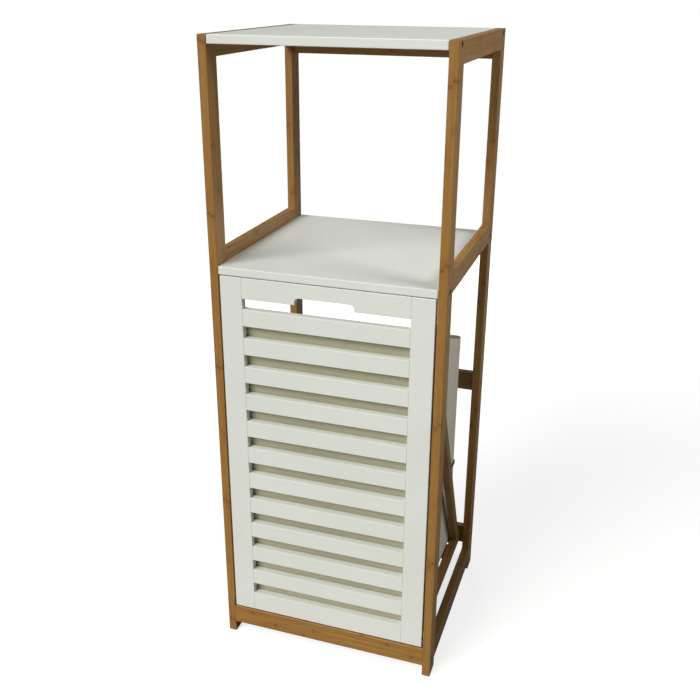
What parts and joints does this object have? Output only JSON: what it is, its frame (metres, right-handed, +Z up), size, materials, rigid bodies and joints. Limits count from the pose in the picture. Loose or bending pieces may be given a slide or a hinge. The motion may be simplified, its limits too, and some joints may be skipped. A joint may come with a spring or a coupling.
{
  "type": "tilt-out laundry hamper stand",
  "caption": "Tall narrow bamboo stand with an open white shelf bay over a slatted door that tilts out with a cloth laundry bag behind it.",
  "frame": {"origin": "on the floor, at the middle of the four feet", "axes": "+Z up, the door faces -Y, +X to the right of someone behind the stand who looks out through the door, which is the right-hand side in a front view"},
  "size_m": [0.353, 0.33, 0.97],
  "materials": {
    "bamboo": "clear satin lacquer over laminated bamboo",
    "white_paint": "satin white paint on fibreboard",
    "beech": "plain turned beech",
    "zinc_steel": "zinc plated",
    "nylon": "dark brown, moulded, matte",
    "magnet": "dark grey ferrite with plain steel pole plates",
    "bag_cloth": "beige plain-weave cloth, stiffened",
    "tape": "dark hook-and-loop tape",
    "webbing": "dark brown webbing"
  },
  "bodies": {
    "frame": {"post_front_left": "bamboo", "post_front_right": "bamboo", "post_back_left": "bamboo", "post_back_right": "bamboo", "top_rail_left": "bamboo", "top_rail_right": "bamboo", "middle_rail_left": "bamboo", "middle_rail_right": "bamboo", "bottom_rail_left": "bamboo", "bottom_rail_right": "bamboo", "side_frame_dowels": "beech", "front_bottom_rail": "bamboo", "back_top_rail": "bamboo", "back_middle_rail": "bamboo", "back_bottom_rail": "bamboo", "cross_rail_dowels": "beech", "top_shelf": "white_paint", "middle_shelf": "white_paint", "frame_bolts": "zinc_steel", "barrel_nuts": "zinc_steel", "pivot_bushes": "nylon", "stop_pegs": "beech", "catch_body": "nylon", "catch_magnet": "magnet", "catch_screws": "zinc_steel"},
    "hamper": {"door_stile_left": "white_paint", "door_stile_right": "white_paint", "door_top_rail": "white_paint", "door_bottom_rail": "white_paint", "slat_01": "white_paint", "slat_02": "white_paint", "slat_03": "white_paint", "slat_04": "white_paint", "slat_05": "white_paint", "slat_06": "white_paint", "slat_07": "white_paint", "slat_08": "white_paint", "slat_09": "white_paint", "slat_10": "white_paint", "slat_11": "white_paint", "door_dowels": "beech", "pivot_pins": "zinc_steel", "strike_plate": "zinc_steel", "strike_screw": "zinc_steel", "base_bar_left": "bamboo", "base_bar_right": "bamboo", "base_front_bar": "bamboo", "base_rear_bar": "bamboo", "base_slats": "bamboo", "base_screws": "zinc_steel", "brace_left": "bamboo", "brace_right": "bamboo", "brace_screws": "zinc_steel", "laundry_bag": "bag_cloth", "rim_wire": "zinc_steel", "hook_and_loop_tape": "tape", "bag_strap": "webbing", "strap_screws": "zinc_steel"}
  },
  "joints": [
    {"name": "hamper_tilt", "type": "hinge", "parent": "frame", "child": "hamper", "pos_m": [0, -0.159, 0.063], "axis": [1, 0, 0], "range_deg": [0, 25]}
  ]
}
